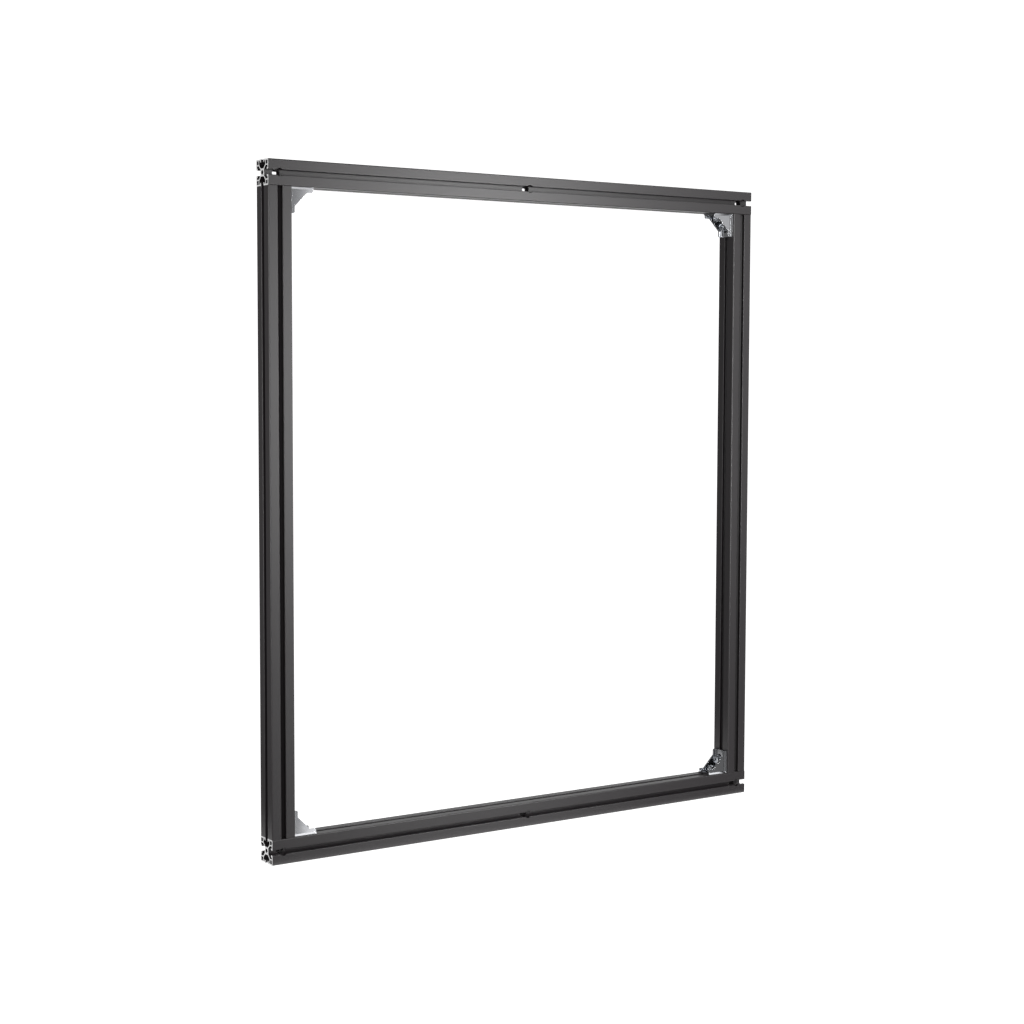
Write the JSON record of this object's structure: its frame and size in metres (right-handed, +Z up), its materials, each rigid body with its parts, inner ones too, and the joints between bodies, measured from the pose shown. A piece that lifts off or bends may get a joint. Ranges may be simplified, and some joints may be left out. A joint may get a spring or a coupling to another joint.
{
  "type": "lighting truss section",
  "caption": "Upright rectangular staging frame of black slotted aluminium profile, with a cast bracket bolted in each inside corner.",
  "frame": {"origin": "middle of the bottom rail's underside, on the floor", "axes": "+X along the rails to the right, +Y to the rear, +Z up; the front is -Y"},
  "size_m": [0.96, 0.04, 1.086],
  "materials": {
    "black_anodised_profile": "satin black anodised, with fine lines along its length and bare sawn ends",
    "die_cast_bracket": "bare die casting, tumbled",
    "zinc_plated_screw": "bright zinc plate",
    "steel_slot_nut": "dull zinc plate"
  },
  "bodies": {
    "root": {"top_rail": "black_anodised_profile", "bottom_rail": "black_anodised_profile", "left_post": "black_anodised_profile", "right_post": "black_anodised_profile", "top_left_bracket": "die_cast_bracket", "top_right_bracket": "die_cast_bracket", "bottom_left_bracket": "die_cast_bracket", "bottom_right_bracket": "die_cast_bracket", "top_left_rail_screw": "zinc_plated_screw", "top_left_post_screw": "zinc_plated_screw", "top_right_rail_screw": "zinc_plated_screw", "top_right_post_screw": "zinc_plated_screw", "bottom_left_rail_screw": "zinc_plated_screw", "bottom_left_post_screw": "zinc_plated_screw", "bottom_right_rail_screw": "zinc_plated_screw", "bottom_right_post_screw": "zinc_plated_screw", "top_left_rail_washer": "zinc_plated_screw", "top_left_post_washer": "zinc_plated_screw", "top_right_rail_washer": "zinc_plated_screw", "top_right_post_washer": "zinc_plated_screw", "bottom_left_rail_washer": "zinc_plated_screw", "bottom_left_post_washer": "zinc_plated_screw", "bottom_right_rail_washer": "zinc_plated_screw", "bottom_right_post_washer": "zinc_plated_screw", "top_left_rail_slot_nut": "steel_slot_nut", "top_left_post_slot_nut": "steel_slot_nut", "top_right_rail_slot_nut": "steel_slot_nut", "top_right_post_slot_nut": "steel_slot_nut", "bottom_left_rail_slot_nut": "steel_slot_nut", "bottom_left_post_slot_nut": "steel_slot_nut", "bottom_right_rail_slot_nut": "steel_slot_nut", "bottom_right_post_slot_nut": "steel_slot_nut"}
  },
  "joints": []
}
